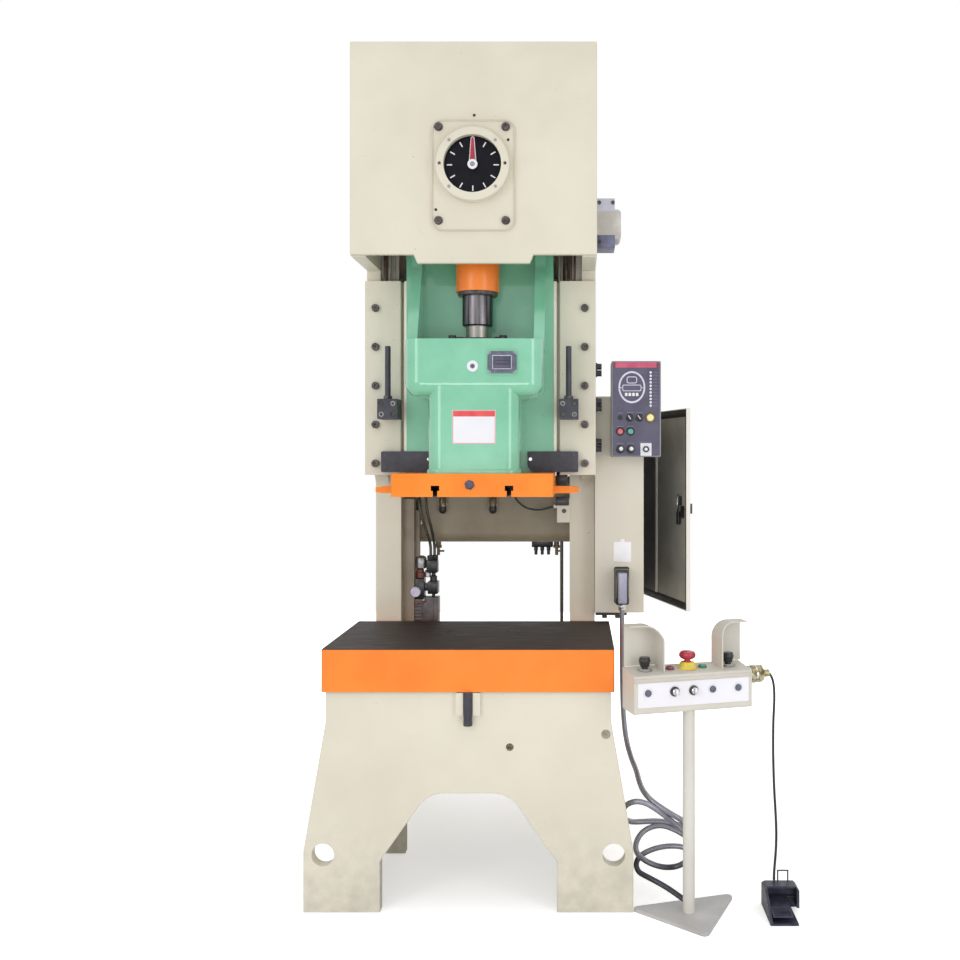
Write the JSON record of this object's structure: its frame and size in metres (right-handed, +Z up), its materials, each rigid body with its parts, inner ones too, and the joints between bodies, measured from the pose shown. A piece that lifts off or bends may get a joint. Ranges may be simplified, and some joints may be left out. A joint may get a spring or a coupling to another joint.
{
  "type": "mechanical stamping press",
  "caption": "Gap frame power press with a guided ram, crank drive, side cabinet, two-hand control stand and foot switch.",
  "frame": {"origin": "middle of the bolster's top face, on the ram's axis", "axes": "+Z up, -Y towards the operator, +X to the operator's right"},
  "size_m": [1.749, 1.8463, 3.144],
  "materials": {
    "cream_paint": "satin enamel on steel plate",
    "green_paint": "gloss enamel on cast iron",
    "orange_paint": "gloss enamel",
    "bolster_steel": "dark ground plate with an orange painted front",
    "machined_steel": "turned steel",
    "black_steel": "black oxide",
    "bronze": "bearing bronze",
    "brass": "bright brass",
    "dial_grey": "cream enamel with a black dial",
    "panel_grey": "dark grey film on sheet steel",
    "cabinet_grey": "textured powder coat",
    "equipment": "electrical gear on a zinc plate",
    "motor_paint": "grey enamel",
    "black_rubber": "smooth black sheath",
    "grey_conduit": "plastic coated metal hose",
    "red_plastic": "gloss moulding",
    "green_plastic": "gloss moulding",
    "black_plastic": "moulded",
    "pedal_casting": "dark hammered enamel",
    "pointer_red": "red enamel",
    "wheel_iron": "cast iron, turned rim"
  },
  "bodies": {
    "frame": {"side_plate_right": "cream_paint", "side_plate_left": "cream_paint", "front_leg_plate": "cream_paint", "bed_frame": "cream_paint", "head_front_plate": "cream_paint", "head_shell": "cream_paint", "bolster": "bolster_steel", "gib_block_right": "cream_paint", "gib_block_left": "cream_paint", "gib_liners": "bronze", "gib_cover_right": "cream_paint", "gib_cover_left": "cream_paint", "gib_cover_screws": "black_steel", "adjusting_bolts": "black_steel", "knockout_stops": "black_steel", "crank_bushes": "bronze", "dial_housing": "dial_grey", "air_tank": "cream_paint", "motor": "motor_paint", "drive_belts": "black_rubber", "rear_guard": "cream_paint", "cabinet": "cabinet_grey", "cabinet_equipment": "equipment", "operator_panel": "panel_grey", "junction_box": "cabinet_grey", "control_box": "cabinet_grey", "control_stand": "cabinet_grey", "palm_guards": "cabinet_grey", "cable_gland": "brass", "foot_switch": "pedal_casting", "foot_cord": "black_rubber", "conduit_upper": "grey_conduit", "conduit_coil": "grey_conduit", "conduit_lower": "grey_conduit", "ram_cable": "black_rubber", "air_service_unit": "motor_paint", "air_hoses": "black_rubber"},
    "crankshaft": {"crankshaft": "machined_steel", "dial_pointer": "pointer_red", "clutch_hub": "machined_steel"},
    "flywheel": {"flywheel": "wheel_iron"},
    "motor_pulley": {"motor_pulley": "wheel_iron"},
    "connecting_rod": {"connecting_rod": "orange_paint", "rod_collar": "black_steel"},
    "ram": {"ram": "green_paint", "ball_cap": "black_steel", "slide_plate": "orange_paint", "wing_plates": "black_steel"},
    "adjusting_screw": {"adjusting_screw": "machined_steel"},
    "knockout_bar": {"knockout_bar": "orange_paint"},
    "cabinet_door": {"cabinet_door": "cabinet_grey"},
    "door_lock": {"door_lock": "black_plastic"},
    "palm_button_left": {"palm_button_left": "black_plastic"},
    "palm_button_right": {"palm_button_right": "black_plastic"},
    "emergency_stop": {"emergency_stop": "red_plastic"},
    "stand_selector_left": {"stand_selector_left": "machined_steel"},
    "stand_selector_right": {"stand_selector_right": "machined_steel"},
    "panel_stop_button": {"panel_stop_button": "red_plastic"},
    "panel_start_button": {"panel_start_button": "green_plastic"},
    "foot_pedal": {"foot_pedal": "pedal_casting"}
  },
  "joints": [
    {"name": "press_stroke", "type": "slide", "parent": "frame", "child": "connecting_rod", "axis": [0, 0, -1], "range_m": [0, 0.18], "deforming": ["ram_cable"]},
    {"name": "die_height", "type": "slide", "parent": "connecting_rod", "child": "ram", "axis": [0, 0, 1], "range_m": [-0.05, 0.04]},
    {"name": "screw_turn", "type": "hinge", "parent": "ram", "child": "adjusting_screw", "pos_m": [0, 0, 1.27], "axis": [0, 0, 1], "range_deg": [-1220, 1520]},
    {"name": "knockout_travel", "type": "slide", "parent": "ram", "child": "knockout_bar", "axis": [0, 0, 1], "range_m": [0, 0.04]},
    {"name": "crank_turn", "type": "hinge", "parent": "frame", "child": "crankshaft", "pos_m": [0, 0, 1.75], "axis": [0, 1, 0], "range_deg": [-0.2, 180.2]},
    {"name": "flywheel_spin", "type": "hinge", "parent": "frame", "child": "flywheel", "pos_m": [0, 1.145, 1.75], "axis": [0, 1, 0], "continuous": true},
    {"name": "motor_spin", "type": "hinge", "parent": "frame", "child": "motor_pulley", "pos_m": [0, 1.145, 1.09], "axis": [0, 1, 0], "continuous": true},
    {"name": "door_swing", "type": "hinge", "parent": "frame", "child": "cabinet_door", "pos_m": [0.667, 0.984, 0.458], "axis": [0, 0, 1], "range_deg": [-14.3, 95]},
    {"name": "door_lock_turn", "type": "hinge", "parent": "cabinet_door", "child": "door_lock", "pos_m": [0.84459, 0.33991, 0.46], "axis": [0.969, 0.247, 0], "range_deg": [0, 90]},
    {"name": "palm_press_left", "type": "slide", "parent": "frame", "child": "palm_button_left", "axis": [0, 0, -1], "range_m": [0, 0.006], "stiffness_N_per_m": 800, "springref_m": -0.006},
    {"name": "palm_press_right", "type": "slide", "parent": "frame", "child": "palm_button_right", "axis": [0, 0, -1], "range_m": [0, 0.006], "stiffness_N_per_m": 800, "springref_m": -0.006},
    {"name": "emergency_press", "type": "slide", "parent": "frame", "child": "emergency_stop", "axis": [0, 0, -1], "range_m": [0, 0.006], "stiffness_N_per_m": 1200, "springref_m": -0.006},
    {"name": "selector_turn_left", "type": "hinge", "parent": "frame", "child": "stand_selector_left", "pos_m": [0.71854, -0.45703, -0.13], "axis": [0.2924, -0.9563, 0], "range_deg": [-45, 45]},
    {"name": "selector_turn_right", "type": "hinge", "parent": "frame", "child": "stand_selector_right", "pos_m": [0.78586, -0.43645, -0.13], "axis": [0.2924, -0.9563, 0], "range_deg": [-45, 45]},
    {"name": "stop_press", "type": "slide", "parent": "frame", "child": "panel_stop_button", "axis": [0, 1, 0], "range_m": [0, 0.005], "stiffness_N_per_m": 500},
    {"name": "start_press", "type": "slide", "parent": "frame", "child": "panel_start_button", "axis": [0, 1, 0], "range_m": [0, 0.005], "stiffness_N_per_m": 500},
    {"name": "pedal_press", "type": "hinge", "parent": "frame", "child": "foot_pedal", "pos_m": [1.099, -0.322, -0.89], "axis": [1, 0, 0], "range_deg": [0, 5], "stiffness_Nm_per_rad": 40, "springref_deg": -11.46}
  ],
  "couplings": [
    {"joint": "crank_turn", "follows": "press_stroke", "rad_per_m": 17.453},
    {"joint": "screw_turn", "follows": "die_height", "rad_per_m": -523.6},
    {"joint": "motor_spin", "follows": "flywheel_spin", "ratio": 4.3478}
  ]
}
